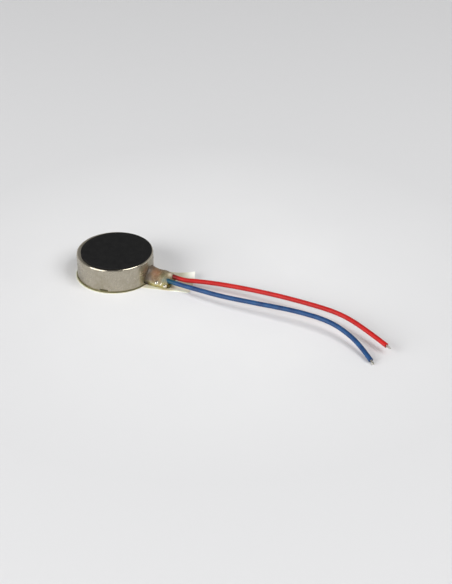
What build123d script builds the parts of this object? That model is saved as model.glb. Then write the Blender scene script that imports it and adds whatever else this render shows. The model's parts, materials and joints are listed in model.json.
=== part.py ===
from build123d import *

import os
from math import cos, pi, radians, sin, tan

# Vibration coin motor: a flat brushed motor, 10 mm across, whose eccentric rotor shakes it.
# Millimetres, +Z up. The origin is on the rotor's axis at the underside of the release liner,
# and +X runs along the tab that carries the two leads out of the can.

# ---- driving dimensions ----------------------------------------------------------------

# What the motor stands on, from the bottom up
liner_thick = 0.08
tape_thick = 0.12

# Can: a drawn cup, open at the bottom
can_radius = 5.0
can_height = 3.2
can_wall = 0.2
can_top_round = 0.32
can_inner_round = 0.12
notch_angles = (-82, 82, 180)
notch_width = 1.1
notch_height = 0.26
doorway_width = 2.8
doorway_height = 0.6
doorway_depth = 1.2

# Base plate, flexible circuit and tab
plate_thick = 0.16
plate_gap = 0.02
ear_gap = 0.03
ear_setback = 0.12
collar_radius = 0.75
collar_height = 0.5
collar_round = 0.1
flex_thick = 0.08
flex_radius = 4.6
flex_bore_gap = 0.05
flex_ear_setback = 0.16
copper_thick = 0.03
tab_half_width = 1.2
tab_end = 8.22
tab_corner = 0.3

# Shaft, bearing and thrust washers
shaft_radius = 0.4
shaft_chamfer = 0.05
shaft_setback = 0.02
running_gap = 0.02
washer_thick = 0.07
upper_washer_thick = 0.1
bush_radius = 0.8
bush_chamfer = 0.05
end_float = 0.03

# Ring magnet and brushes
magnet_radius = 4.3
magnet_bore = 2.25
magnet_thick = 0.9
magnet_chamfer = 0.08
brush_offset = 1.2
brush_width = 0.45
brush_leaf = 0.05
brush_slot = 0.07
brush_clearance = 0.02

# Rotor
segment_count = 6
segment_gap = 0.1
segment_inner = 0.95
segment_outer = 1.8
segment_thick = 0.04
segment_bottom = 1.58
board_thick = 0.18
board_hub_radius = 2.35
board_radius = 4.2
rotor_radius = 4.35
rotor_half_angle = 98
rotor_heading = 180
coil_thick = 0.9
coil_angle = 52
coil_half_angle = 28
coil_inner = 1.4
coil_outer = 4.15
coil_band = 0.62
coil_corner = 0.3
weight_half_angle = 20
weight_inner = 1.5
weight_thick = 1.1
weight_round = 0.06
resin_hub_radius = 1.3
resin_floor = 0.06

# Foam pad on the can's top
pad_radius = 4.64
pad_centre = (0.3, -0.16)
pad_adhesive_thick = 0.03
pad_adhesive_setback = 0.08
pad_thick = 0.17
pad_edge_round = 0.05

# Leads
lead_radius = 0.3
core_radius = 0.13
tip_radius = 0.14
tip_length = 0.7
tip_end_round = 0.06
land_offset = 0.55
land_length = 1.3
land_width = 0.8
land_corner = 0.15
track_width = 0.22
solder_radius = 0.45

# The leads' routes. Each starts under the glue, leaves it at the tab's end and lies in a loose
# curve just above the surface; the blue one comes down to it at its end.
red_route = [
    (6.9, 0.7, 1.15),
    (9.0, 0.13, 0.85),
    (12.0, 0.72, 1.0),
    (16.2, 1.06, 1.08),
    (21.5, 0.85, 1.28),
    (26.5, 0.2, 1.5),
    (31.0, -0.61, 1.6),
    (34.6, -2.3, 1.4),
    (38.1, -4.39, 1.05),
]
blue_route = [
    (6.9, -0.4, 0.86),
    (8.9, -0.77, 0.84),
    (12.0, -1.26, 0.98),
    (16.0, -1.96, 1.22),
    (21.0, -2.21, 1.52),
    (26.0, -2.36, 1.76),
    (30.4, -2.81, 1.66),
    (33.4, -4.09, 1.2),
    (35.5, -5.59, 0.72),
    (37.0, -7.03, 0.32),
]

# ---- dimensions that follow --------------------------------------------------------------

can_bottom = liner_thick + tape_thick
can_top = can_bottom + can_height
can_ceiling = can_top - can_wall
can_inner_radius = can_radius - can_wall
plate_top = can_bottom + plate_thick
flex_top = plate_top + flex_thick
copper_top = flex_top + copper_thick
collar_top = plate_top + collar_height
washer_bore = shaft_radius + running_gap
lower_washer_top = collar_top + washer_thick
upper_washer_bottom = can_ceiling - upper_washer_thick
bush_bottom = lower_washer_top + end_float
bush_top = upper_washer_bottom - end_float
board_bottom = segment_bottom + segment_thick
board_top = board_bottom + board_thick
winding_bottom = board_top + resin_floor
brush_top = segment_bottom - brush_clearance


# ---- helpers -----------------------------------------------------------------------------

def polar(radius, angle):
    """The point at a radius and an angle in degrees about the rotor's axis."""
    return (radius * cos(radians(angle)), radius * sin(radians(angle)))


def ring_sector(inner, outer, start, end):
    """The part of a ring between two angles, as a sketch to add."""
    with BuildSketch() as sector:
        with BuildLine():
            CenterArc((0, 0), outer, start, end - start)
            CenterArc((0, 0), inner, start, end - start)
            for angle in (start, end):
                Line(polar(inner, angle), polar(outer, angle))
        make_face()
    return sector.sketch


def rotor_half_moon(radius):
    """The rotor's outline about its heading, from the bush outwards, as a sketch to add."""
    return ring_sector(
        bush_radius, radius, rotor_heading - rotor_half_angle, rotor_heading + rotor_half_angle
    )


def tab_outline(half_width, end):
    """A tab from the motor's middle outwards, with round corners, as a sketch to add."""
    with BuildSketch() as tab:
        with BuildLine():
            FilletPolyline(
                (0, -half_width), (end, -half_width), (end, half_width), (0, half_width),
                radius=tab_corner,
            )
            Line((0, half_width), (0, -half_width))
        make_face()
    return tab.sketch


def notch_sketch(inner, outer, width):
    """A bar across the wall at each notch, as a sketch to add."""
    with BuildSketch() as bars:
        for angle in notch_angles:
            with Locations(Location((0, 0, 0), (0, 0, angle))):
                with Locations((inner, 0)):
                    Rectangle(outer - inner, width, align=(Align.MIN, Align.CENTER))
    return bars.sketch


def corner_radii(route):
    """The largest arc that each corner of a route has room for."""
    radii = []
    for before, corner, after in zip(route, route[1:], route[2:]):
        run_in = Vector(*corner) - Vector(*before)
        run_out = Vector(*after) - Vector(*corner)
        half_turn = radians(run_in.get_angle(run_out)) / 2
        radii.append(0.45 * min(run_in.length, run_out.length) / tan(half_turn))
    return radii


def finish(part, name):
    """Name a finished piece and write it."""
    part.label = name
    export_step(part, f"parts/{name}.step")


os.makedirs("parts", exist_ok=True)

# ---- release liner: a cream paper disc with a pull tail, its far corner bent up -----------

liner_radius = 5.12
liner_centre = (-0.1, -0.08)
tail_near_root = (4.0, -2.05)
tail_near_corner = (10.85, -1.02)
fold_end = (10.62, 0.6)
fold_start = (7.3, 2.8)
tail_far_root = (3.6, 2.45)
fold_angle = 25
flap_corner = (2.16, 1.75)

fold_line = Vector(*fold_end) - Vector(*fold_start)
flap_normal = Vector(0, 0, 1).rotate(Axis((0, 0, 0), fold_line), fold_angle)
flap_plane = Plane(origin=fold_start, x_dir=fold_line, z_dir=flap_normal)

with BuildPart() as release_liner:
    with BuildSketch():
        with Locations(liner_centre):
            Circle(liner_radius)
        with BuildLine():
            Polyline(
                (0, 0), tail_near_root, tail_near_corner, fold_end, fold_start, tail_far_root,
                close=True,
            )
        make_face()
    extrude(amount=liner_thick)
    with BuildSketch(flap_plane):
        with BuildLine():
            Polyline((0, 0), (fold_line.length, 0), flap_corner, close=True)
        make_face()
    extrude(amount=liner_thick)
finish(release_liner.part, "release_liner")

# ---- adhesive tape: under the can and the tab ---------------------------------------------

tape_radius = 5.02
tape_centre = (-0.06, -0.05)
tape_end = tab_end - 0.1

with BuildPart() as adhesive_tape:
    with BuildSketch(Plane.XY.offset(liner_thick)):
        with Locations(tape_centre):
            Circle(tape_radius)
        add(tab_outline(tab_half_width, tape_end))
    extrude(amount=tape_thick)
finish(adhesive_tape.part, "adhesive_tape")

# ---- can: a drawn cup with a round shoulder ------------------------------------------------

with BuildPart() as can:
    with BuildSketch(Plane.XY.offset(can_bottom)):
        Circle(can_radius)
    extrude(amount=can_height)
    fillet(can.edges().group_by(Axis.Z)[-1], radius=can_top_round)
    with BuildSketch(Plane.XY.offset(can_bottom)):
        Circle(can_inner_radius)
    extrude(amount=can_height - can_wall, mode=Mode.SUBTRACT)
    ceiling_edge = can.edges().filter_by(GeomType.CIRCLE).filter_by(
        lambda edge: abs(edge.center().Z - can_ceiling) < 0.01
    )
    fillet(ceiling_edge, radius=can_inner_round)
    with BuildSketch(Plane.XY.offset(can_ceiling)):
        Circle(shaft_radius)
    extrude(amount=can_wall, mode=Mode.SUBTRACT)
    with BuildSketch(Plane.XY.offset(can_bottom)):
        add(notch_sketch(can_radius - 2 * can_wall, can_radius + can_wall, notch_width))
    extrude(amount=notch_height, mode=Mode.SUBTRACT)
    with BuildSketch(Plane.XY.offset(can_bottom)):
        with Locations((can_radius, 0)):
            Rectangle(doorway_depth, doorway_width)
    extrude(amount=doorway_height, mode=Mode.SUBTRACT)
finish(can.part, "can")

# ---- base plate: closes the can; a collar holds the shaft, a tongue stiffens the tab -------

tongue_end = 7.7
tongue_half_width = 1.1
ear_width = notch_width - 2 * ear_gap
ear_reach = can_radius - ear_setback

with BuildPart() as base_plate:
    with BuildSketch(Plane.XY.offset(can_bottom)):
        Circle(can_inner_radius - plate_gap)
        add(tab_outline(tongue_half_width, tongue_end))
        add(notch_sketch(0, ear_reach, ear_width))
    extrude(amount=plate_thick)
    with BuildSketch(Plane.XY.offset(plate_top)):
        Circle(collar_radius)
    extrude(amount=collar_height)
    fillet(base_plate.edges().group_by(Axis.Z)[-1], radius=collar_round)
    with BuildSketch(Plane.XY.offset(can_bottom)):
        Circle(shaft_radius)
    extrude(amount=plate_thick + collar_height, mode=Mode.SUBTRACT)
finish(base_plate.part, "base_plate")

# ---- flexible circuit: a polyimide disc with ears in the notches and the tab's tail --------

flex_ear_reach = can_radius - flex_ear_setback

with BuildPart() as flex_circuit:
    with BuildSketch(Plane.XY.offset(plate_top)):
        Circle(flex_radius)
        add(tab_outline(tab_half_width, tab_end))
        add(notch_sketch(0, flex_ear_reach, ear_width))
        Circle(collar_radius + flex_bore_gap, mode=Mode.SUBTRACT)
    extrude(amount=flex_thick)
finish(flex_circuit.part, "flex_circuit")

# ---- copper lands and tracks: two circuits, one for each lead and its brush ----------------

lead_land_x = 6.35
track_outer_bend = 4.0
track_inner_bend = 2.4
brush_foot_x = 1.1
brush_land = 0.55
brush_land_corner = 0.1

with BuildPart() as flex_lands:
    for side in (1, -1):
        foot = (side * brush_foot_x, side * brush_offset)
        with BuildSketch(Plane.XY.offset(flex_top)):
            with BuildLine():
                Polyline(
                    (lead_land_x, side * land_offset),
                    (track_outer_bend, side * land_offset),
                    (track_inner_bend, side * brush_offset),
                    foot,
                )
            trace(line_width=track_width)
            with Locations((lead_land_x, side * land_offset)):
                RectangleRounded(land_length, land_width, land_corner)
            with Locations(foot):
                RectangleRounded(brush_land, brush_land, brush_land_corner)
        extrude(amount=copper_thick)
finish(flex_lands.part, "flex_lands")

# ---- ring magnet ---------------------------------------------------------------------------

with BuildPart() as ring_magnet:
    with BuildSketch(Plane.XY.offset(copper_top)):
        Circle(magnet_radius)
        Circle(magnet_bore, mode=Mode.SUBTRACT)
    extrude(amount=magnet_thick)
    chamfer(ring_magnet.edges().filter_by(GeomType.CIRCLE), length=magnet_chamfer)
finish(ring_magnet.part, "ring_magnet")

# ---- shaft: pressed into the base plate's collar and the can's top -------------------------

with BuildPart() as shaft:
    with BuildSketch(Plane.XY.offset(can_bottom)):
        Circle(shaft_radius)
    extrude(amount=can_height - shaft_setback)
    chamfer(shaft.edges().filter_by(GeomType.CIRCLE), length=shaft_chamfer)
finish(shaft.part, "shaft")

# ---- thrust washers ------------------------------------------------------------------------

for name, bottom, thick in (
    ("lower_thrust_washer", collar_top, washer_thick),
    ("upper_thrust_washer", upper_washer_bottom, upper_washer_thick),
):
    with BuildPart() as washer:
        with BuildSketch(Plane.XY.offset(bottom)):
            Circle(collar_radius)
            Circle(washer_bore, mode=Mode.SUBTRACT)
        extrude(amount=thick)
    finish(washer.part, name)

# ---- brushes: leaf springs with a foot on the circuit and two contact fingers ---------------

leaf_z = copper_top + brush_leaf / 2
tip_z = brush_top - brush_leaf / 2
foot_outer = 1.36
foot_inner = 0.8
finger_top_x = -0.5
finger_top_z = tip_z + 0.06
finger_end_x = -0.8
finger_end_z = tip_z - 0.22
leaf_bends = (0.12, 0.15)
slot_middle = -0.35
slot_length = 1.3

for name, turn in (("brush_a", 0), ("brush_b", 180)):
    with BuildPart() as brush:
        with BuildSketch(Plane.XZ.offset(-brush_offset)):
            with BuildLine():
                FilletPolyline(
                    (foot_outer, leaf_z),
                    (foot_inner, leaf_z),
                    (finger_top_x, finger_top_z),
                    (finger_end_x, finger_end_z),
                    radius=leaf_bends,
                )
            trace(line_width=brush_leaf)
        extrude(amount=brush_width / 2, both=True)
        with BuildSketch(Plane.XY.offset(copper_top)):
            with Locations((slot_middle, brush_offset)):
                Rectangle(slot_length, brush_slot)
        extrude(amount=brush_top, mode=Mode.SUBTRACT)
    finish(brush.part.rotate(Axis.Z, turn), name)

brush_solder_radius = 0.2

with BuildPart() as brush_solder_joints:
    with Locations(*[
        (side * brush_foot_x, side * brush_offset, copper_top + brush_leaf) for side in (1, -1)
    ]):
        Sphere(brush_solder_radius)
    split(bisect_by=Plane.XY.offset(copper_top + brush_leaf), keep=Keep.TOP)
finish(brush_solder_joints.part, "brush_solder_joints")

# ---- foam pad and its adhesive --------------------------------------------------------------

with BuildPart() as pad_adhesive:
    with BuildSketch(Plane.XY.offset(can_top)):
        with Locations(pad_centre):
            Circle(pad_radius - pad_adhesive_setback)
    extrude(amount=pad_adhesive_thick)
finish(pad_adhesive.part, "pad_adhesive")

with BuildPart() as foam_pad:
    with BuildSketch(Plane.XY.offset(can_top + pad_adhesive_thick)):
        with Locations(pad_centre):
            Circle(pad_radius)
    extrude(amount=pad_thick)
    fillet(foam_pad.edges().group_by(Axis.Z)[-1], radius=pad_edge_round)
finish(foam_pad.part, "foam_pad")

# ---- rotor: bush, commutator board and segments, coils, weight and resin --------------------

with BuildPart() as bearing_bush:
    with BuildSketch(Plane.XY.offset(bush_bottom)):
        Circle(bush_radius)
        Circle(shaft_radius + running_gap, mode=Mode.SUBTRACT)
    extrude(amount=bush_top - bush_bottom)
    chamfer(bearing_bush.edges().filter_by(GeomType.CIRCLE), length=bush_chamfer)
finish(bearing_bush.part, "bearing_bush")

with BuildPart() as commutator_board:
    with BuildSketch(Plane.XY.offset(board_bottom)):
        Circle(board_hub_radius)
        add(rotor_half_moon(board_radius))
        Circle(bush_radius, mode=Mode.SUBTRACT)
    extrude(amount=board_thick)
finish(commutator_board.part, "commutator_board")

with BuildPart() as commutator_segments:
    with BuildSketch(Plane.XY.offset(segment_bottom)):
        Circle(segment_outer)
        Circle(segment_inner, mode=Mode.SUBTRACT)
        with PolarLocations(0, segment_count):
            Rectangle(
                segment_outer + segment_gap, segment_gap, align=(Align.MIN, Align.CENTER),
                mode=Mode.SUBTRACT,
            )
    extrude(amount=segment_thick)
finish(commutator_segments.part, "commutator_segments")

coils = []
for name, heading in (
    ("coil_1", rotor_heading + coil_angle),
    ("coil_2", rotor_heading - coil_angle),
):
    with BuildPart() as coil:
        with BuildSketch(Plane.XY.offset(winding_bottom)) as winding:
            add(ring_sector(
                coil_inner, coil_outer, heading - coil_half_angle, heading + coil_half_angle
            ))
            fillet(winding.vertices(), radius=coil_corner)
            offset(amount=-coil_band, mode=Mode.SUBTRACT)
        extrude(amount=coil_thick)
    finish(coil.part, name)
    coils.append(coil.part)

with BuildPart() as counterweight:
    with BuildSketch(Plane.XY.offset(winding_bottom)):
        add(ring_sector(
            weight_inner, rotor_radius,
            rotor_heading - weight_half_angle, rotor_heading + weight_half_angle,
        ))
    extrude(amount=weight_thick)
    fillet(counterweight.edges().group_by(Axis.Z)[-1], radius=weight_round)
finish(counterweight.part, "counterweight")

with BuildPart() as rotor_resin:
    with BuildSketch(Plane.XY.offset(board_top)):
        Circle(resin_hub_radius)
        add(rotor_half_moon(rotor_radius))
        Circle(bush_radius, mode=Mode.SUBTRACT)
    extrude(amount=resin_floor + coil_thick)
    add([*coils, counterweight.part], mode=Mode.SUBTRACT)
finish(rotor_resin.part, "rotor_resin")

coil_solder_radius = 0.16
coil_solder_height = 0.09
coil_solder_round = 0.06
coil_solder_place = 2.08
coil_solder_start = 30

with BuildPart() as coil_solder_joints:
    with BuildSketch(Plane.XY.offset(board_bottom)):
        with PolarLocations(coil_solder_place, segment_count, start_angle=coil_solder_start):
            Circle(coil_solder_radius)
    extrude(amount=-coil_solder_height)
    fillet(coil_solder_joints.edges().group_by(Axis.Z)[0], radius=coil_solder_round)
finish(coil_solder_joints.part, "coil_solder_joints")

# ---- leads: insulation, stripped ends, and solder on the tab's lands -------------------------

core_start = 5.9
core_bend = 0.5
core_z = copper_top + core_radius + 0.02
solder_x = 6.25
solder_sink = 0.12

under_glue = []
for colour, route, side in (("red", red_route, 1), ("blue", blue_route, -1)):
    radii = corner_radii(route)
    print(colour, "lead arcs, mm:", [round(radius, 1) for radius in radii])

    with BuildPart() as lead:
        with BuildLine() as lead_line:
            FilletPolyline(*route, radius=radii)
        lead_wire = lead_line.wires()[0]
        with BuildSketch(Plane(origin=lead_wire @ 0, z_dir=lead_wire % 0)):
            Circle(lead_radius)
        sweep(path=lead_wire)
    finish(lead.part, f"{colour}_lead")
    section_volume = pi * lead_radius**2 * lead_wire.length
    print(f"{colour} lead {lead_wire.length:.2f} mm long, volume {lead.part.volume:.3f}",
          f"of {section_volume:.3f} mm3")

    with BuildPart() as tip:
        with BuildSketch(Plane(origin=lead_wire @ 1, z_dir=lead_wire % 1)):
            Circle(tip_radius)
        extrude(amount=tip_length)
        fillet(tip.faces().sort_by_distance(lead_wire @ 1)[-1].edges(), radius=tip_end_round)
    finish(tip.part, f"{colour}_lead_tip")
    print(f"{colour} tip starts at", lead_wire @ 1, "and points along", lead_wire % 1)

    with BuildPart() as core:
        with BuildLine() as core_line:
            FilletPolyline(
                (core_start, side * land_offset, core_z),
                (lead_land_x, side * land_offset, core_z),
                route[0],
                radius=core_bend,
            )
        core_wire = core_line.wires()[0]
        with BuildSketch(Plane(origin=core_wire @ 0, z_dir=core_wire % 0)):
            Circle(core_radius)
        sweep(path=core_wire)
        split(bisect_by=Plane(origin=lead_wire @ 0, z_dir=lead_wire % 0), keep=Keep.BOTTOM)
    finish(core.part, f"{colour}_lead_core")

    with BuildPart() as solder:
        with Locations((solder_x, side * land_offset, copper_top - solder_sink)):
            Sphere(solder_radius)
        split(bisect_by=Plane.XY.offset(copper_top), keep=Keep.TOP)
        add(core.part, mode=Mode.SUBTRACT)
    finish(solder.part, f"{colour}_solder_joint")
    under_glue += [lead.part, core.part, solder.part]

# ---- potting: glue over the solder joints, from high on the can down to the leads ------------

# Along X: where the section stands, its half width at the bottom, its top and its middle in Y
glue_bottom = can_bottom + 0.04
glue_sections = (
    (4.7, 1.48, 2.0, 0.14),
    (6.2, 1.35, 1.7, 0.02),
    (7.88, 1.22, 1.42, -0.1),
)

with BuildPart() as lead_potting:
    for x, half_width, top, middle in glue_sections:
        with BuildSketch(Plane.YZ.offset(x)):
            with BuildLine():
                ThreePointArc(
                    (middle - half_width, glue_bottom), (middle, top), (middle + half_width, glue_bottom)
                )
                Line((middle + half_width, glue_bottom), (middle - half_width, glue_bottom))
            make_face()
    loft()
    with BuildSketch(Plane.XY):
        Circle(can_inner_radius)
    extrude(amount=can_top, mode=Mode.SUBTRACT)
    add(
        [can.part, base_plate.part, flex_circuit.part, flex_lands.part, *under_glue],
        mode=Mode.SUBTRACT,
    )
finish(lead_potting.part, "lead_potting")
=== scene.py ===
import json
import math

import bmesh
import bpy
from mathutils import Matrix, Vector, noise


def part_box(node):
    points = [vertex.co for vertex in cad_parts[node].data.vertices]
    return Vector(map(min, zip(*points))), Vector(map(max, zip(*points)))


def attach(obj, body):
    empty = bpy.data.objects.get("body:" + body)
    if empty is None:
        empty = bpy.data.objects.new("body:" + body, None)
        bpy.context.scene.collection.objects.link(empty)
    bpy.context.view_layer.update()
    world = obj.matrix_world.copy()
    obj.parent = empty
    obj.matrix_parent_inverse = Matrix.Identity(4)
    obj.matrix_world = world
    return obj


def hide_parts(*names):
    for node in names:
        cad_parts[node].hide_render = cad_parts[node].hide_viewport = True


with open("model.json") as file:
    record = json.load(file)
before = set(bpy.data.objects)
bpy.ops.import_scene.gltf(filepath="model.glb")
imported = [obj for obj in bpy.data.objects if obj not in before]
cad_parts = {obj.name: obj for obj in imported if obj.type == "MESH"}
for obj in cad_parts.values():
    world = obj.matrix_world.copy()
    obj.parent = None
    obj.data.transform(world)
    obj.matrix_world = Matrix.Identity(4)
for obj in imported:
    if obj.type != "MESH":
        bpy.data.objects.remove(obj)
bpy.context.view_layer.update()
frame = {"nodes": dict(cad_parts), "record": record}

# Everything is in metres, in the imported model's frame: +Z up, the origin on the rotor's axis
# under the release liner, +X along the tab that the leads leave from.
MM = 0.001
nodes = frame["nodes"]

# ---- camera: over the front, turned to the tab's side ---------------------------------------

VIEW_TARGET = Vector((15.2, 1.0, 0.0)) * MM
VIEW_DISTANCE = 175.2 * MM
VIEW_AZIMUTH = math.radians(22)
VIEW_ELEVATION = math.radians(32.5)
VIEW_LENS = 84
RIGHT = Vector((math.cos(VIEW_AZIMUTH), math.sin(VIEW_AZIMUTH), 0))
AWAY = Vector((-math.sin(VIEW_AZIMUTH), math.cos(VIEW_AZIMUTH), 0))
UP = Vector((0, 0, 1))


def aim(obj, place, target):
    """Put a camera or a light at a place, looking at a target."""
    obj.location = place
    obj.rotation_euler = (target - place).to_track_quat("-Z", "Y").to_euler()


camera_data = bpy.data.cameras.new("camera")
camera_data.lens = VIEW_LENS
camera_data.clip_start = 0.005
camera = bpy.data.objects.new("camera", camera_data)
bpy.context.scene.collection.objects.link(camera)
back = -AWAY * math.cos(VIEW_ELEVATION) + UP * math.sin(VIEW_ELEVATION)
aim(camera, VIEW_TARGET + back * VIEW_DISTANCE, VIEW_TARGET)
bpy.context.scene.camera = camera


# ---- materials ------------------------------------------------------------------------------

def tone(red, green, blue):
    """A colour from its 0 to 255 screen values, as a linear colour."""
    def linear(value):
        value /= 255
        return value / 12.92 if value <= 0.04045 else ((value + 0.055) / 1.055) ** 2.4
    return (linear(red), linear(green), linear(blue), 1)


class Look:
    """A Principled material and short calls that add procedural nodes to it."""

    def __init__(self, name, **constants):
        self.material = bpy.data.materials.new(name)
        self.material.use_nodes = True
        self.tree = self.material.node_tree
        self.shader = self.tree.nodes["Principled BSDF"]
        self.place = self.node("TexCoord").outputs["Object"]
        for socket, value in constants.items():
            self.shader.inputs[socket.replace("_", " ")].default_value = value

    def node(self, kind, **settings):
        """Add a shader node of a kind, with settings."""
        made = self.tree.nodes.new("ShaderNode" + kind)
        for setting, value in settings.items():
            setattr(made, setting, value)
        return made

    def join(self, output, socket):
        """Link an output to a socket."""
        self.tree.links.new(output, socket)

    def drive(self, socket, output):
        """Feed one of the shader's sockets."""
        self.join(output, self.shader.inputs[socket])

    def stretched(self, stretch):
        """Object coordinates in millimetres, squeezed along each axis."""
        mapping = self.node("Mapping")
        mapping.inputs["Scale"].default_value = [s / MM for s in stretch]
        self.join(self.place, mapping.inputs["Vector"])
        return mapping.outputs["Vector"]

    def grain(self, per_mm, detail=3, rough=0.5, stretch=(1, 1, 1)):
        """Noise with so many blotches to the millimetre, 0 to 1."""
        texture = self.node("TexNoise")
        texture.inputs["Scale"].default_value = per_mm
        texture.inputs["Detail"].default_value = detail
        texture.inputs["Roughness"].default_value = rough
        self.join(self.stretched(stretch), texture.inputs["Vector"])
        return texture.outputs["Fac"]

    def cells(self, per_mm):
        """Distance to the nearest of randomly placed points."""
        texture = self.node("TexVoronoi", feature="F1")
        texture.inputs["Scale"].default_value = per_mm
        self.join(self.stretched((1, 1, 1)), texture.inputs["Vector"])
        return texture.outputs["Distance"]

    def along(self, axis, low, high):
        """0 at one place on an axis in millimetres, 1 at the other."""
        split = self.node("SeparateXYZ")
        self.join(self.place, split.inputs["Vector"])
        return self.remap(split.outputs[axis], low * MM, high * MM, 0, 1)

    def near(self, middle, reach, core=0.25):
        """1 at a point in millimetres and over the core of a reach, falling to 0 at the reach."""
        gap = self.node("VectorMath", operation="DISTANCE")
        self.join(self.place, gap.inputs[0])
        gap.inputs[1].default_value = Vector(middle) * MM
        return self.remap(gap.outputs["Value"], core * reach * MM, reach * MM, 1, 0)

    def remap(self, value, from_low, from_high, to_low, to_high):
        """Carry one range of values over to another, held at both ends."""
        spread = self.node("MapRange")
        for socket, number in zip(("From Min", "From Max", "To Min", "To Max"),
                                  (from_low, from_high, to_low, to_high)):
            spread.inputs[socket].default_value = number
        self.join(value, spread.inputs["Value"])
        return spread.outputs["Result"]

    def ramp(self, value, *stops):
        """A colour ramp from (position, colour) stops."""
        ramp = self.node("ValToRGB")
        elements = ramp.color_ramp.elements
        while len(elements) < len(stops):
            elements.new(1)
        for element, (position, colour) in zip(elements, stops):
            element.position = position
            element.color = colour
        self.join(value, ramp.inputs["Fac"])
        return ramp.outputs["Color"]

    def feed(self, socket, value):
        """Give a socket a value or another node's output."""
        if isinstance(value, bpy.types.NodeSocket):
            self.join(value, socket)
        else:
            socket.default_value = value

    def mix(self, factor, one, other):
        """Mix two colours, each a colour or an output: the first at 0, the other at 1."""
        mixer = self.node("Mix", data_type="RGBA")
        for place, value in ((0, factor), (6, one), (7, other)):
            self.feed(mixer.inputs[place], value)
        return mixer.outputs[2]

    def maths(self, operation, one, other):
        """Join two values, each a number or an output, by one operation."""
        sum_node = self.node("Math", operation=operation)
        self.feed(sum_node.inputs[0], one)
        self.feed(sum_node.inputs[1], other)
        return sum_node.outputs[0]

    def stain_or_painted_light(self, colour, where, reach, share, tint, core=0.25):
        """Lay a soft-edged spot of another tint over a colour, with a share of full strength: a
        stain, painted light or painted shade.
        """
        spot = self.maths("MULTIPLY", self.near(where, reach, core), share)
        return self.mix(spot, colour, tint)

    def bump(self, height, depth, strength):
        """Add relief so many millimetres deep, on top of any relief there already is."""
        relief = self.node("Bump")
        relief.inputs["Distance"].default_value = depth * MM
        relief.inputs["Strength"].default_value = strength
        self.join(height, relief.inputs["Height"])
        normal = self.shader.inputs["Normal"]
        if normal.links:
            self.join(normal.links[0].from_socket, relief.inputs["Normal"])
        self.join(relief.outputs["Normal"], normal)


def can_look():
    """Drawn, nickel-plated steel: faint upright draw lines, stains and rubbed patches."""
    look = Look("can_metal", Metallic=1.0)
    lines = look.grain(6, 4, 0.6, (1, 1, 0.08))
    rubs = look.grain(2.2, 4, 0.65, (1, 1, 0.5))
    stains = look.grain(0.7, 5, 0.6)
    colour = look.ramp(lines, (0.25, (0.415, 0.378, 0.305, 1)), (0.75, (0.475, 0.435, 0.355, 1)))
    colour = look.mix(look.remap(stains, 0.46, 0.68, 0, 0.6), colour, (0.31, 0.275, 0.20, 1))
    colour = look.mix(look.remap(rubs, 0.56, 0.72, 0, 0.5), colour, (0.56, 0.52, 0.43, 1))
    look.drive("Base Color", colour)
    shine = look.maths("ADD", look.remap(stains, 0.3, 0.7, 0.24, 0.34),
                       look.remap(rubs, 0.3, 0.7, -0.04, 0.06))
    look.drive("Roughness", look.maths(
        "SUBTRACT", shine, look.remap(look.along("Z", 2.95, 3.12), 0, 1, 0, 0.14)))
    look.bump(lines, 0.002, 0.5)
    look.bump(rubs, 0.006, 0.4)
    return look


def metal_look(name, dark, light, shine, per_mm=6, stretch=(1, 1, 1), depth=0.003):
    """Bare or plated metal with a fine grain and uneven shine."""
    look = Look(name, Metallic=1.0)
    grain = look.grain(per_mm, 4, 0.6, stretch)
    blotches = look.grain(0.9, 3)
    colour = look.ramp(grain, (0.3, dark), (0.7, light))
    look.drive("Base Color", look.mix(look.remap(blotches, 0.4, 0.75, 0, 0.35), colour, dark))
    look.drive("Roughness", look.remap(blotches, 0.3, 0.7, shine - 0.06, shine + 0.08))
    look.bump(grain, depth, 0.5)
    return look


def plastic_look(name, dark, light, shine, per_mm=4, depth=0.003, **constants):
    """A moulded or cast plastic with slight clouding and surface ripple."""
    look = Look(name, **constants)
    cloud = look.grain(per_mm, 4, 0.55)
    fine = look.grain(per_mm * 6, 3)
    look.drive("Base Color", look.ramp(cloud, (0.3, dark), (0.7, light)))
    look.drive("Roughness", look.remap(fine, 0.3, 0.7, shine - 0.05, shine + 0.07))
    look.bump(fine, depth, 0.5)
    return look


def foam_look():
    """Black closed-cell foam: matt, finely pitted with painted shade in its pits, with a few grey
    specks of dust.
    """
    look = Look("foam", Specular_IOR_Level=0.12)
    pits = look.cells(7)
    cloud = look.grain(1.1, 4)
    dust = look.remap(look.cells(1.3), 0.035, 0.015, 0, 1)
    colour = look.ramp(cloud, (0.3, (0.0085, 0.0085, 0.0088, 1)),
                       (0.7, (0.0125, 0.0125, 0.0125, 1)))
    # The pits are painted darker: painted shade in the hollows
    colour = look.mix(look.remap(pits, 0.0, 0.28, 0.65, 0), colour, (0.004, 0.004, 0.004, 1))
    colour = look.mix(dust, colour, (0.06, 0.06, 0.058, 1))
    look.drive("Base Color", colour)
    look.drive("Roughness", look.remap(pits, 0, 0.5, 1.0, 0.82))
    look.bump(pits, 0.02, 0.6)
    look.bump(look.grain(3, 3), 0.02, 0.4)
    return look


# What shows in the glue: (where, reach, share, tint), millimetres. A dark streak by the far edge,
# brown flux, the blue lead under its thin cover, and a painted highlight by the red lead, where the
# glue's end faces the right light.
GLUE_STAINS_AND_HIGHLIGHT = (
    ((7.1, 0.8, 1.45), 0.9, 0.7, tone(92, 74, 56)),
    ((6.82, -0.18, 1.43), 0.5, 0.75, tone(84, 72, 52)),
    ((6.0, -0.2, 1.5), 0.8, 0.9, tone(146, 110, 84)),
    ((6.9, -0.4, 1.3), 0.5, 0.5, tone(118, 112, 80)),
    ((7.3, -0.8, 1.0), 0.6, 0.5, tone(92, 112, 104)),
    ((7.8, -0.65, 1.0), 0.45, 0.75, tone(34, 76, 92)),
    # Painted highlight: the pale patch where the glue's end catches the right light
    ((7.7, 0.2, 1.3), 0.42, 0.9, tone(214, 200, 176)),
)


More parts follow.
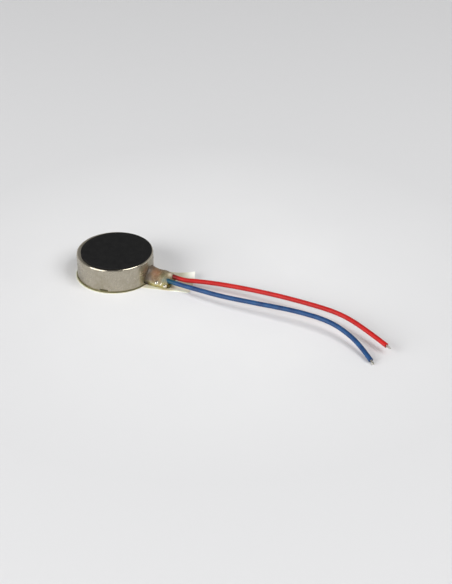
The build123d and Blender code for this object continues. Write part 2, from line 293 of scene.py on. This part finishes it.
def glue_look():
    """Brown glue, painted darker beside the can as shade, greyer outwards, olive where it lies thin
    on the tab.
    """
    look = Look("potting_glue", Subsurface_Weight=0.25, Subsurface_Scale=0.2 * MM, IOR=1.5,
                Coat_Weight=0.18, Coat_Roughness=0.2)
    look.shader.inputs["Subsurface Radius"].default_value = (1.0, 0.6, 0.3)
    swirl = look.grain(1.5, 4, 0.6)
    dark = look.ramp(swirl, (0.3, tone(66, 54, 40)), (0.7, tone(92, 76, 58)))
    brown = look.ramp(swirl, (0.3, tone(104, 86, 66)), (0.7, tone(140, 116, 90)))
    grey = look.ramp(swirl, (0.3, tone(128, 116, 86)), (0.7, tone(156, 146, 118)))
    olive = look.ramp(look.grain(2.4, 3), (0.3, tone(112, 102, 52)), (0.7, tone(168, 158, 102)))
    # The dark brown beside the can is painted shade from the can standing over the glue
    colour = look.mix(look.along("X", 5.0, 5.7), dark, brown)
    colour = look.mix(look.along("X", 6.2, 7.2), colour, grey)
    for spot in GLUE_STAINS_AND_HIGHLIGHT:
        colour = look.stain_or_painted_light(colour, *spot)
    colour = look.mix(look.along("Z", 0.85, 0.5), colour, olive)
    # A painted shadow in the corner where the glue meets the can's foot and the tab
    colour = look.stain_or_painted_light(colour, (5.0, -1.35, 0.3), 0.7, 1.0, tone(52, 40, 24))
    look.drive("Base Color", colour)
    look.drive("Roughness", look.maths(
        "ADD", look.remap(look.grain(5, 3), 0.3, 0.7, 0.16, 0.38),
        look.remap(look.along("X", 5.9, 5.3), 0, 1, 0, 0.25)))
    look.bump(look.grain(1.8, 3), 0.06, 0.6)
    return look


def wire_look(name, deep, plain, smear_and_shade_tint):
    """Thin flexible insulation: a soft gloss, faint ripple and a darker start, glue smeared on the
    blue and painted shade beside the glue on the red.
    """
    look = Look(name, Specular_IOR_Level=0.3, Coat_Weight=0.06, Coat_Roughness=0.22)
    cloud = look.grain(1.2, 4)
    fine = look.grain(14, 3)
    colour = look.ramp(cloud, (0.3, deep), (0.7, plain))
    # The darker start by the glue: a smear of glue on the blue lead, painted shade on the red
    smear_and_shade = look.maths("ADD", look.along("X", 9.3, 8.4), look.remap(cloud, 0.3, 0.7, -0.15, 0.05))
    look.drive("Base Color", look.mix(smear_and_shade, colour, smear_and_shade_tint))
    look.drive("Roughness", look.remap(fine, 0.3, 0.7, 0.34, 0.5))
    look.bump(fine, 0.006, 0.5)
    look.bump(look.grain(1.5, 2), 0.03, 0.35)
    return look


def paper_look():
    """Cream siliconised liner paper with a faint fibre pattern."""
    look = Look("liner_paper", Specular_IOR_Level=0.45, Subsurface_Weight=0.1,
                Subsurface_Scale=0.1 * MM)
    fibres = look.grain(5, 5, 0.65, (1, 2.5, 1))
    cloud = look.grain(0.7, 3)
    colour = look.ramp(fibres, (0.3, tone(198, 195, 170)), (0.7, tone(216, 213, 192)))
    colour = look.mix(look.remap(cloud, 0.4, 0.7, 0, 0.3), colour, tone(194, 188, 154))
    # Painted light that lifts the paper past the tab out of the leads' shade, adhesive that has
    # bled beside the tab, adhesive and painted shade along the can's front under its edge, and a
    # painted highlight on the raised corner
    colour = look.stain_or_painted_light(colour, (9.6, -0.95, 0.1), 2.0, 0.9, tone(244, 241, 222))
    colour = look.stain_or_painted_light(colour, (7.8, -1.2, 0.1), 1.3, 0.55, tone(166, 148, 100))
    # Adhesive and painted shade: a dark ring along the can's front edge
    colour = look.stain_or_painted_light(colour, (0.03, -0.09, 0.09), 5.08, 1.0, tone(84, 80, 52), core=0.99)
    # A painted highlight on the raised corner, where it faces the light
    look.drive("Base Color", look.stain_or_painted_light(colour, (10.2, 2.9, 0.7), 2.0, 1.0, tone(250, 251, 241)))
    look.drive("Roughness", look.remap(fibres, 0.3, 0.7, 0.38, 0.55))
    look.bump(fibres, 0.006, 0.5)
    return look


def resin_board_look(name, dark, light, shine):
    """Laminate or film with a woven or streaked body under a thin glossy face."""
    look = Look(name, Coat_Weight=0.2, Coat_Roughness=0.15)
    weave = look.maths("MULTIPLY", look.grain(3, 2, 0.5, (6, 0.6, 1)),
                       look.grain(3, 2, 0.5, (0.6, 6, 1)))
    look.drive("Base Color", look.ramp(weave, (0.1, dark), (0.45, light)))
    look.drive("Roughness", look.remap(look.grain(8), 0.3, 0.7, shine - 0.05, shine + 0.1))
    look.bump(weave, 0.006, 0.5)
    return look


looks = {
    "can_metal": can_look(),
    "plate_metal": metal_look("plate_metal", (0.15, 0.135, 0.085, 1), (0.26, 0.235, 0.16, 1), 0.42),
    "shaft_steel": metal_look("shaft_steel", (0.50, 0.50, 0.50, 1), (0.68, 0.68, 0.69, 1), 0.16,
                              8, (1, 1, 0.1), 0.001),
    "magnet_plating": metal_look("magnet_plating", (0.42, 0.42, 0.42, 1), (0.56, 0.56, 0.57, 1),
                                 0.3, 10),
    "spring_brass": metal_look("spring_brass", (0.62, 0.44, 0.18, 1), (0.80, 0.62, 0.30, 1), 0.24,
                               9, (0.15, 1, 1)),
    "solder": metal_look("solder", (0.62, 0.58, 0.48, 1), (0.84, 0.80, 0.70, 1), 0.27, 7,
                         (1, 1, 1), 0.01),
    "washer_plastic": plastic_look("washer_plastic", tone(206, 202, 190), tone(226, 223, 212), 0.5),
    "adhesive": plastic_look("adhesive", tone(92, 88, 58), tone(122, 116, 78), 0.32, 3, 0.01,
                             Coat_Weight=0.2),
    "liner_paper": paper_look(),
    "foam": foam_look(),
    "polyimide": resin_board_look("polyimide", tone(86, 72, 28), tone(126, 108, 50), 0.34),
    "copper": metal_look("copper", (0.62, 0.28, 0.15, 1), (0.85, 0.46, 0.30, 1), 0.3, 8),
    "potting_glue": glue_look(),
    # The red lead's darker start is painted shade beside the glue; the blue's is a smear of glue
    "red_insulation": wire_look("red_insulation", tone(167, 21, 19), tone(187, 31, 28),
                                tone(104, 20, 16)),
    "blue_insulation": wire_look("blue_insulation", tone(22, 50, 92), tone(32, 74, 120),
                                 tone(18, 66, 84)),
    "tinned_wire": metal_look("tinned_wire", (0.46, 0.44, 0.38, 1), (0.70, 0.68, 0.60, 1), 0.28,
                              12, (1, 1, 1), 0.004),
    "sintered_bronze": metal_look("sintered_bronze", (0.30, 0.18, 0.08, 1), (0.55, 0.36, 0.19, 1),
                                  0.42, 14, (1, 1, 1), 0.012),
    "board": resin_board_look("board", tone(18, 62, 30), tone(30, 92, 44), 0.34),
    "tungsten": metal_look("tungsten", (0.17, 0.17, 0.18, 1), (0.30, 0.30, 0.31, 1), 0.42, 11,
                           (1, 1, 1), 0.01),
    "resin": plastic_look("resin", tone(20, 20, 22), tone(34, 34, 36), 0.36, 3, 0.006,
                          Coat_Weight=0.2),
}

slot_of = {entry["node"]: entry["material_slot"] for entry in frame["record"]["subparts"]}
for name, node in nodes.items():
    for material_slot in node.material_slots:
        material_slot.material = looks[slot_of[name]].material


# ---- mesh helpers ---------------------------------------------------------------------------

SHARP_ANGLE = math.radians(50)


def piece_from(name, bm, node, body):
    """Turn a bmesh into the piece that stands for a CAD node, in that node's finish."""
    bmesh.ops.recalc_face_normals(bm, faces=bm.faces[:])
    mesh = bpy.data.meshes.new(name)
    bm.to_mesh(mesh)
    bm.free()
    for face in mesh.polygons:
        face.use_smooth = True
    mesh.set_sharp_from_angle(angle=SHARP_ANGLE)
    piece = bpy.data.objects.new(name, mesh)
    bpy.context.scene.collection.objects.link(piece)
    return stand_in(piece, node, body)


def stand_in(piece, node, body):
    """Give an object a CAD node's finish and slot, and let it stand for that node."""
    piece.data.materials.append(looks[slot_of[node]].material)
    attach(piece, body)
    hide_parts(node)
    return piece


def skin(bm, loops, caps=True):
    """Join loops of points, each as long as the next, into a tube, with or without end caps."""
    rows = [[bm.verts.new(point) for point in loop] for loop in loops]
    count = len(rows[0])
    for one, other in zip(rows, rows[1:]):
        for i in range(count):
            j = (i + 1) % count
            bm.faces.new((one[i], one[j], other[j], other[i]))
    if caps:
        bm.faces.new(rows[0][::-1])
        bm.faces.new(rows[-1])
    return rows


def wander(point, per_mm, seed=0.0):
    """Smooth noise from -1 to 1 at a point in metres."""
    return noise.noise(Vector(point) / MM * per_mm + Vector((seed, seed * 0.7, -seed)))


# ---- leads: two loose wires, soldered under the glue ----------------------------------------

LEAD_RADIUS = 0.0003
RED_ROUTE = [
    (0.0069, 0.0007, 0.00115),
    (0.0090, 0.00013, 0.00085),
    (0.0120, 0.00072, 0.0010),
    (0.0162, 0.00106, 0.00108),
    (0.0215, 0.00085, 0.00128),
    (0.0265, 0.0002, 0.0015),
    (0.0310, -0.00061, 0.0016),
    (0.0346, -0.0023, 0.0014),
    (0.0381, -0.00439, 0.00105),
]
BLUE_ROUTE = [
    (0.0069, -0.0004, 0.00086),
    (0.0089, -0.00077, 0.00084),
    (0.0120, -0.00126, 0.00098),
    (0.0160, -0.00196, 0.00122),
    (0.0210, -0.00221, 0.00152),
    (0.0260, -0.00236, 0.00176),
    (0.0304, -0.00281, 0.00166),
    (0.0334, -0.00409, 0.0012),
    (0.0355, -0.00559, 0.00072),
    (0.0370, -0.00703, 0.00032),
]


def lead_curve(name, route):
    """A round wire on one smooth spline through a route."""
    curve = bpy.data.curves.new(name, "CURVE")
    curve.dimensions = "3D"
    curve.resolution_u = 16
    curve.bevel_depth = LEAD_RADIUS
    curve.bevel_resolution = 7
    curve.use_fill_caps = True
    spline = curve.splines.new("NURBS")
    spline.points.add(len(route) - 1)
    for point, place in zip(spline.points, route):
        point.co = (*place, 1)
    spline.order_u = 3
    spline.use_endpoint_u = True
    piece = bpy.data.objects.new(name, curve)
    bpy.context.scene.collection.objects.link(piece)
    return piece


STRANDS_ROUND = 6
STRAND_RADIUS = 0.05 * MM
STRAND_LAY = 0.09 * MM  # from the middle strand to those round it
STRAND_TWIST = 1.5  # radians over the tip's length
STRAND_DRAWN = 0.35  # share of the lay that is gone at the end
STRAND_THIN, THIN_FROM = 0.72, 0.9  # share of the radius that is left, and from where on
TIP_LENGTH = 0.7 * MM


def strand_tip(name, route, node, seed):
    """The stripped end: seven fine strands, twisted, and drawn together by tin at the end."""
    start = Vector(route[-1])
    along = (start - Vector(route[-2])).normalized()
    side = along.cross(UP).normalized()
    over = side.cross(along)
    bm = bmesh.new()
    steps, sides = 16, 10
    for strand in range(1 + STRANDS_ROUND):
        loops = []
        for step in range(steps + 1):
            t = step / steps
            spread = 0 if strand == 0 else STRAND_LAY * (1 - STRAND_DRAWN * t * t)
            turn = strand / STRANDS_ROUND * math.tau + STRAND_TWIST * t
            turn += 0.3 * wander((t, strand, seed), 0.001)
            reach = TIP_LENGTH * (t * (0.94 + 0.05 * math.sin(strand * 2.4 + seed)))
            centre = start + along * reach + (
                side * math.cos(turn) + over * math.sin(turn)) * spread
            thick = STRAND_RADIUS * (1 if t < THIN_FROM else STRAND_THIN)
            loops.append([
                centre + (side * math.cos(a) + over * math.sin(a)) * thick
                for a in (k / sides * math.tau for k in range(sides))
            ])
        skin(bm, loops)
    return piece_from(name, bm, node, "stator")


# Each lead's route, where it leaves the glue in X, and the length of its insulation, in metres
LEADS = {"red": (RED_ROUTE, 0.0081, 0.0324), "blue": (BLUE_ROUTE, 0.0078, 0.0317)}

for colour, (route, exit_x, length) in LEADS.items():
    lead = lead_curve(f"{colour}_wire", route)
    stand_in(lead, f"{colour}_lead", "stator")
    strands = strand_tip(f"{colour}_strands", route, f"{colour}_lead_tip", len(colour))


# ---- foam pad: a die-cut disc with a pitted face and a slightly ragged edge -----------------

# Rings of points on the pad's top, as shares of its radius
PAD_RINGS = (0.04, 0.1, 0.17, 0.24, 0.31, 0.38, 0.45, 0.52, 0.58, 0.64, 0.70, 0.75, 0.80, 0.845,
             0.885, 0.92, 0.95, 0.972)


def make_foam_pad():
    """A disc with a rounded upper edge, cut a little unevenly and not quite flat on top."""
    low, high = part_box("foam_pad")
    centre = (low + high) / 2
    radius = (high.x - low.x) / 2
    segments = 240
    edge_round = 0.05 * MM
    uneven, wavy = 0.012 * MM, 0.014 * MM
    sunk, proud = 0.004 * MM, 0.01 * MM
    profile = [(radius * t, high.z) for t in PAD_RINGS]
    profile += [(radius - edge_round * (1 - math.sin(a)), high.z - edge_round * (1 - math.cos(a)))
                for a in (0.0, 0.4, 0.8, 1.2, math.pi / 2)]
    profile += [(radius, high.z - 0.11 * MM), (radius, low.z), (radius * 0.5, low.z)]
    bm = bmesh.new()
    loops = []
    for reach, z in profile:
        loop = []
        for k in range(segments):
            a = k / segments * math.tau
            place = Vector((reach * math.cos(a), reach * math.sin(a), 0))
            ragged = uneven * wander(place, 2.2, 5) - uneven if reach > radius * 0.9 else 0
            rise = wavy * wander(place, 1.1, 3) if z > low.z else 0
            point = centre + place + place.normalized() * ragged
            point.z = min(z + rise - sunk, high.z + proud)
            loop.append(point)
        loops.append(loop)
    skin(bm, loops)
    return piece_from("foam_disc", bm, "foam_pad", "stator")


make_foam_pad()


# ---- glue: a sloping blob from high on the can down to where the leads come out -------------

# (x, near edge's y, far edge's y, height at the near edge, at the far edge, ridge's y, ridge's
# height), millimetres, from the can outwards
GLUE_STATIONS = (
    (4.9, -1.24, 1.75, 1.45, 1.15, 0.10, 1.95),
    (5.4, -1.26, 1.50, 1.05, 1.05, 0.38, 1.78),
    (6.0, -1.32, 1.32, 0.76, 1.00, 0.55, 1.66),
    (6.6, -1.36, 1.34, 0.66, 1.28, 0.60, 1.58),
    (7.3, -1.34, 1.27, 0.66, 1.22, 0.52, 1.50),
    (8.2, -1.22, 1.10, 0.55, 1.00, 0.40, 1.30),
)
# Swellings and the collars at the leads: (x, y, z, size, swell), millimetres
GLUE_LUMPS = (
    (5.7, -0.7, 1.3, 0.55, 0.06), (6.6, -0.1, 1.4, 0.45, 0.04), (7.35, -0.55, 1.05, 0.5, 0.13),
    (6.95, 0.85, 1.35, 0.45, 0.09),
    (5.6, -1.3, 0.45, 0.35, 0.08), (6.3, -1.35, 0.35, 0.3, 0.10), (7.0, -1.3, 0.4, 0.26, 0.10),
    (7.6, -1.25, 0.3, 0.32, 0.14), (6.5, 1.25, 0.5, 0.4, 0.10), (7.6, 1.05, 0.5, 0.4, 0.09),
    (8.0, 0.45, 1.0, 0.4, 0.12), (7.95, -0.6, 0.85, 0.3, 0.06),
)


def between_stations(x):
    """The glue's six measures at an X, part way from one station to the next."""
    for one, other in zip(GLUE_STATIONS, GLUE_STATIONS[1:]):
        if x <= other[0] or other is GLUE_STATIONS[-1]:
            t = min(max((x - one[0]) / (other[0] - one[0]), 0.0), 1.0)
            return [a + (b - a) * t for a, b in zip(one[1:], other[1:])]


GLUE_FOOT = 0.09  # height of its flat foot, just above the liner
GLUE_WALL = 4.95  # radius at which it starts, just inside the can's wall
GLUE_END = 8.02
GLUE_END_SLANT = 0.16  # the end leans outwards by so much at the far side
MENISCUS = 0.16  # how high it has crept up the can, and over what length that fades
MENISCUS_NEAR, MENISCUS_FAR = 0.08, 0.12  # how far it has crept sideways
LIP_START, LIP_LENGTH = 0.93, 0.07  # shares of its length: where the end starts to round off
SQUARED_ACROSS, SQUARED_UP = 0.8, 0.4  # powers below 1 make sections fuller than an ellipse


def glue_measures(x):
    """Edges in Y, where the ridge lies between them (-1 to 1) and three heights, at an X."""
    near, far, near_top, far_top, ridge_y, ridge = between_stations(x)
    ridge_at = (2 * ridge_y - near - far) / (far - near)
    creep = math.exp(-(x - GLUE_STATIONS[0][0]) / MENISCUS)
    heights = [top + MENISCUS * creep for top in (near_top, ridge, far_top)]
    return near - MENISCUS_NEAR * creep, far + MENISCUS_FAR * creep, ridge_at, heights


def glue_swell(point):
    """How far the glue stands out at a point, from its waviness and its lumps."""
    swell = 0.035 * wander(point * MM, 0.8, 2) + 0.018 * wander(point * MM, 2.1, 7)
    for *middle, size, lump in GLUE_LUMPS:
        gap = (point - Vector(middle)).length / size
        swell += lump * math.exp(-gap * gap)
    return swell


def glue_section(t, sides):
    """The outline at a share of the glue's length, as points in metres."""
    first = GLUE_STATIONS[0][0]
    near, far, ridge_at, heights = glue_measures(first + (GLUE_END - first) * t)
    near_top, ridge, far_top = heights
    lip = max(0.0, (t - LIP_START) / LIP_LENGTH)
    close = math.sqrt(max(0.0, 1 - lip * lip))
    section = []
    for k in range(sides):
        a = k / sides * math.tau
        c, s = math.cos(a), math.sin(a)
        across = math.copysign(abs(c) ** SQUARED_ACROSS, c)
        y = (near + far) / 2 + (far - near) / 2 * across
        if across < ridge_at:
            edge_top = near_top
            rise = math.sin(math.pi / 2 * (across + 1) / (ridge_at + 1))
        else:
            edge_top = far_top
            rise = math.sin(math.pi / 2 * (1 - across) / (1 - ridge_at))
        top = edge_top + (ridge - edge_top) * rise
        z = GLUE_FOOT + (top - GLUE_FOOT) * s ** SQUARED_UP if s >= 0 else GLUE_FOOT
        # The lip closes to 0.55 of the width and half the height
        y, z = y * (0.55 + 0.45 * close), GLUE_FOOT + (z - GLUE_FOOT) * (0.5 + 0.5 * close)
        # Sections bend from the can's round wall to the straight end
        on_wall = math.sqrt(GLUE_WALL * GLUE_WALL - y * y)
        end = GLUE_END + GLUE_END_SLANT * across
        x = on_wall + (end - on_wall) * t
        point = Vector((x, y, z))
        out = Vector((0.3 * t, c, max(s, 0.0) + 0.05)).normalized()
        swell = glue_swell(point) if s >= 0 else 0
        point += out * swell * min(1.0, 4 * (x - on_wall) + 0.1)
        point.z = max(point.z, GLUE_FOOT)
        section.append(point * MM)
    return section


def make_glue():
    """A glossy blob that has wetted the can's wall and run over the tab's near edge."""
    steps, sides, crowding = 110, 128, 1.35
    bm = bmesh.new()
    skin(bm, [glue_section((step / steps) ** crowding, sides) for step in range(steps + 1)])
    bmesh.ops.remove_doubles(bm, verts=bm.verts[:], dist=0.002 * MM)
    return piece_from("glue_blob", bm, "lead_potting", "stator")


make_glue()


# ---- solder: an uneven mound on each lead's land, the near one showing through the glue -----

# Each mound's middle and half sizes, millimetres: the main one first, then what has run beside it
SOLDER_MOUNDS = {
    "red": ((6.25, 0.55, 0.50, 0.42, 0.38, 0.30), (6.7, 0.45, 0.48, 0.25, 0.25, 0.2)),
    "blue": ((6.25, -0.62, 0.50, 0.44, 0.42, 0.34), (6.4, -1.12, 0.56, 0.32, 0.33, 0.30),
             (7.05, -1.12, 0.50, 0.18, 0.30, 0.25), (7.6, -1.24, 0.38, 0.30, 0.23, 0.23)),
}


def make_solder(colour):
    """A lead's overlapping solder mounds, each an uneven ellipsoid."""
    bm = bmesh.new()
    for place, (x, y, z, *half) in enumerate(SOLDER_MOUNDS[colour]):
        made = bmesh.ops.create_icosphere(bm, subdivisions=4, radius=1)
        for vert in made["verts"]:
            way = vert.co.copy()
            swell = 1 + 0.10 * wander(way * MM, 1.1, place + 3)
            vert.co = Vector((x + way.x * half[0] * swell, y + way.y * half[1] * swell,
                              z + way.z * half[2] * swell)) * MM
    return piece_from(f"{colour}_solder", bm, f"{colour}_solder_joint", "stator")


make_solder("red")
make_solder("blue")


# ---- release liner: thin paper with a tail, one corner of which curls up --------------------

LINER_RADIUS = 5.12
LINER_CENTRE = Vector((-0.03, -0.1, 0))
LINER_THICK = 0.08
TAIL_NEAR_ROOT = -23.0
TAIL_FAR_ROOT = 31.0
TAIL_CORNERS = (Vector((10.9, -1.02, 0)), Vector((10.3, 3.12, 0)))
CURL_START = Vector((7.3, 2.8, 0))
CURL_END = Vector((10.62, 0.6, 0))
CURL_SLOPE, CURL_EASE, CURL_BEND = 0.31, 0.45, 0.09
WAVE_START, WAVE_LENGTH, WAVE_HEIGHT = 5.6, 4, 0.02
LINER_HUB = Vector((2.6, 0.25, 0))


def liner_outline():
    """The cut shape: a disc and a tail with small round corners, as flat points."""
    outline = []
    arc_steps, edge_steps = 130, 34
    for k in range(arc_steps + 1):
        a = math.radians(TAIL_FAR_ROOT + (360 + TAIL_NEAR_ROOT - TAIL_FAR_ROOT) * k / arc_steps)
        outline.append(LINER_CENTRE + Vector((math.cos(a), math.sin(a), 0)) * LINER_RADIUS)
    corner_round = 0.16
    stops = [outline[-1], *TAIL_CORNERS, outline[0]]
    for i in (1, 2):
        before, corner, after = stops[i - 1], stops[i], stops[i + 1]
        enter = corner + (before - corner).normalized() * corner_round
        leave = corner + (after - corner).normalized() * corner_round
        start = outline[-1]
        outline += [start.lerp(enter, k / edge_steps) for k in range(1, edge_steps + 1)]
        outline += [enter.lerp(corner, t).lerp(corner.lerp(leave, t), t) for t in (0.25, 0.5, 0.75)]
        outline.append(leave)
    outline += [leave.lerp(stops[3], k / edge_steps) for k in range(1, edge_steps)]
    return outline


def liner_lift(point):
    """How high the paper has left the surface at a flat point, and how far it has drawn in."""
    along = (CURL_END - CURL_START).normalized()
    out = Vector((-along.y, along.x, 0))
    past = max(0.0, (point - CURL_START).dot(out))
    curl = CURL_SLOPE * past * past / (past + CURL_EASE) + CURL_BEND * past * past
    tail = min(max((point.x - WAVE_START) / WAVE_LENGTH, 0.0), 1.0)
    wave = tail * (WAVE_HEIGHT + WAVE_HEIGHT * wander(point * MM, 0.45, 4))
    return curl + wave, out * (-CURL_BEND * past * past)


# The paper's rings of points, as shares of the way from its hub to its edge
LINER_RINGS = (1, 0.99, 0.97, 0.94, 0.9, 0.86, 0.82, 0.78, 0.73, 0.68, 0.62, 0.56, 0.49, 0.41,
               0.32, 0.2)


def make_liner():
    """The thin sheet, top and underside, closed along its cut edge."""
    outline = liner_outline()
    count = len(outline)
    bm = bmesh.new()
    faces = []
    for level in (LINER_THICK, 0):
        rings = []
        for factor in LINER_RINGS:
            ring = []
            for edge in outline:
                flat = LINER_HUB.lerp(edge, factor)
                lift, drawn = liner_lift(flat)
                ring.append(bm.verts.new((flat + drawn + UP * (level + lift)) * MM))
            rings.append(ring)
        for one, other in zip(rings, rings[1:]):
            for i in range(count):
                j = (i + 1) % count
                bm.faces.new((one[i], one[j], other[j], other[i]))
        middle = bm.verts.new((LINER_HUB + UP * level) * MM)
        for i in range(count):
            bm.faces.new((rings[-1][i], rings[-1][(i + 1) % count], middle))
        faces.append(rings[0])
    top, bottom = faces
    for i in range(count):
        j = (i + 1) % count
        bm.faces.new((top[i], top[j], bottom[j], bottom[i]))
    return piece_from("liner_paper", bm, "release_liner", "stator")


make_liner()


# ---- coils: wound wire that shows as ridges all round ---------------------------------------

COIL_OUTER, COIL_INNER = 4.15 * MM, 1.4 * MM
COIL_SPREAD = math.radians(28)  # to either side of its heading
COIL_BAND = 0.62 * MM
# The corners are rounded less and less inwards
CORNER_CUT, CORNER_CUT_LEAST, CORNER_FADE = 0.3 * MM, 0.05 * MM, 0.7 * MM


def coil_loop(inset, z, heading):
    """The coil's outline, moved inwards by an inset, as points."""
    outer, inner = COIL_OUTER - inset, COIL_INNER + inset
    wide = COIL_SPREAD - math.asin(inset / outer)
    narrow = COIL_SPREAD - math.asin(inset / inner)
    cut = CORNER_CUT * (1 - inset / CORNER_FADE) + CORNER_CUT_LEAST

    def on_arc(radius, a):
        return Vector((radius * math.cos(a), radius * math.sin(a), z))

    corners = [(outer, -wide), (outer, wide), (inner, narrow), (inner, -narrow)]
    places = [on_arc(r, a + heading) for r, a in corners]
    side_steps = 14
    points = []
    for i in range(4):
        one, other = places[i], places[(i + 1) % 4]
        arc = i in (0, 2)
        radius = outer if i == 0 else inner
        span = (other - one).length
        for k in range(side_steps + 1):
            t = cut / span + (1 - 2 * cut / span) * k / side_steps
            if arc:
                a0, a1 = corners[i][1], corners[(i + 1) % 4][1]
                a = a0 + (a1 - a0) * t + heading
                points.append(on_arc(radius, a))
            else:
                points.append(one.lerp(other, t))
        # Round the corner with a short curve
        after = places[(i + 2) % 4]
        leave = points[-1]
        if (i + 1) % 4 in (0, 2):
            a0, a1 = corners[(i + 1) % 4][1], corners[(i + 2) % 4][1]
            next_span = (after - other).length
            r = outer if (i + 1) % 4 == 0 else inner
            a = a0 + (a1 - a0) * cut / next_span + heading
            enter = on_arc(r, a)
        else:
            enter = other.lerp(after, cut / (after - other).length)
        for t in (0.25, 0.5, 0.75):
            points.append(leave * (1 - t) ** 2 + other * 2 * t * (1 - t) + enter * t * t)
    return points


def make_coil(name, node, heading):
    """A flat winding whose turns show as ridges on all four sides of its band."""
    low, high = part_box(node)
    ridge = 0.018 * MM
    across, up, samples = 6, 9, 5
    section = []
    for side, count in (("bottom", across), ("in", up), ("top", across), ("out", up)):
        for k in range(count * samples):
            t = k / (count * samples)
            dip = ridge * (1 - abs(math.sin(math.pi * t * count)))
            if side == "bottom":
                section.append((COIL_BAND * t, low.z + dip))
            elif side == "in":
                section.append((COIL_BAND - dip, low.z + (high.z - low.z) * t))
            elif side == "top":
                section.append((COIL_BAND * (1 - t), high.z - dip))
            else:
                section.append((dip, high.z - (high.z - low.z) * t))
    loops = [coil_loop(max(inset, 0.0), z, heading) for inset, z in section]
    bm = bmesh.new()
    rows = skin(bm, loops, caps=False)
    count = len(rows[0])
    for i in range(count):
        j = (i + 1) % count
        bm.faces.new((rows[-1][i], rows[-1][j], rows[0][j], rows[0][i]))
    return piece_from(name, bm, node, "rotor")


make_coil("winding_1", "coil_1", math.radians(180 + 52))
make_coil("winding_2", "coil_2", math.radians(180 - 52))


# ---- floor, light and world -----------------------------------------------------------------

FLOOR_HALF = 1.5
LIGHT_DISTANCE = 0.5
WORLD_STRENGTH = 0.9


def make_floor():
    """A plain pale sheet, a little darker far from the object: painted shade as the light falls
    off.
    """
    bm = bmesh.new()
    bmesh.ops.create_grid(bm, x_segments=8, y_segments=8, size=FLOOR_HALF)
    mesh = bpy.data.meshes.new("floor")
    bm.to_mesh(mesh)
    bm.free()
    floor = bpy.data.objects.new("floor", mesh)
    bpy.context.scene.collection.objects.link(floor)
    look = Look("floor_paper", Specular_IOR_Level=0.3)
    cloud = look.grain(0.05, 3)
    paper = look.ramp(cloud, (0.3, (0.785, 0.785, 0.79, 1)), (0.7, (0.825, 0.825, 0.825, 1)))
    # Painted shade: the floor darkens with distance from the object
    look.drive("Base Color", look.mix(look.near((13.0, 3.0, 0.0), 40), (0.71, 0.71, 0.715, 1),
                                      paper))
    look.drive("Roughness", look.remap(look.grain(0.4, 3), 0.3, 0.7, 0.75, 0.9))
    mesh.materials.append(look.material)


def make_light(name, way, size, power, glossy=True):
    """A square soft light in a direction (right, away, up); a glossy one shows in reflections."""
    data = bpy.data.lights.new(name, "AREA")
    data.shape = "SQUARE"
    data.size = size
    data.energy = power
    light = bpy.data.objects.new(name, data)
    bpy.context.scene.collection.objects.link(light)
    light.visible_glossy = glossy
    direction = (RIGHT * way[0] + AWAY * way[1] + UP * way[2]).normalized()
    aim(light, VIEW_TARGET + direction * LIGHT_DISTANCE, VIEW_TARGET)


def make_world():
    """A pale room, brightest near the horizon and dim overhead."""
    world = bpy.data.worlds.new("room")
    bpy.context.scene.world = world
    world.use_nodes = True
    tree = world.node_tree
    coords = tree.nodes.new("ShaderNodeTexCoord")
    split = tree.nodes.new("ShaderNodeSeparateXYZ")
    ramp = tree.nodes.new("ShaderNodeValToRGB")
    horizon, overhead = ramp.color_ramp.elements
    horizon.position, horizon.color = 0.1, (0.75, 0.75, 0.75, 1)
    overhead.position, overhead.color = 0.85, (0.10, 0.10, 0.105, 1)
    tree.links.new(coords.outputs["Generated"], split.inputs["Vector"])
    tree.links.new(split.outputs["Z"], ramp.inputs["Fac"])
    background = tree.nodes["Background"]
    background.inputs["Strength"].default_value = WORLD_STRENGTH
    tree.links.new(ramp.outputs["Color"], background.inputs["Color"])


make_floor()
make_light("right_light", (0.541, -0.349, 0.766), 0.30, 1.6)
make_light("left_light", (-0.728, -0.578, 0.372), 0.40, 1.55)
# This one only deepens the shadow behind the can, so it is kept out of the reflections
make_light("window_light", (-0.872, -0.352, 0.342), 0.34, 1.4, glossy=False)
make_world()
bpy.context.scene.view_settings.view_transform = "Standard"
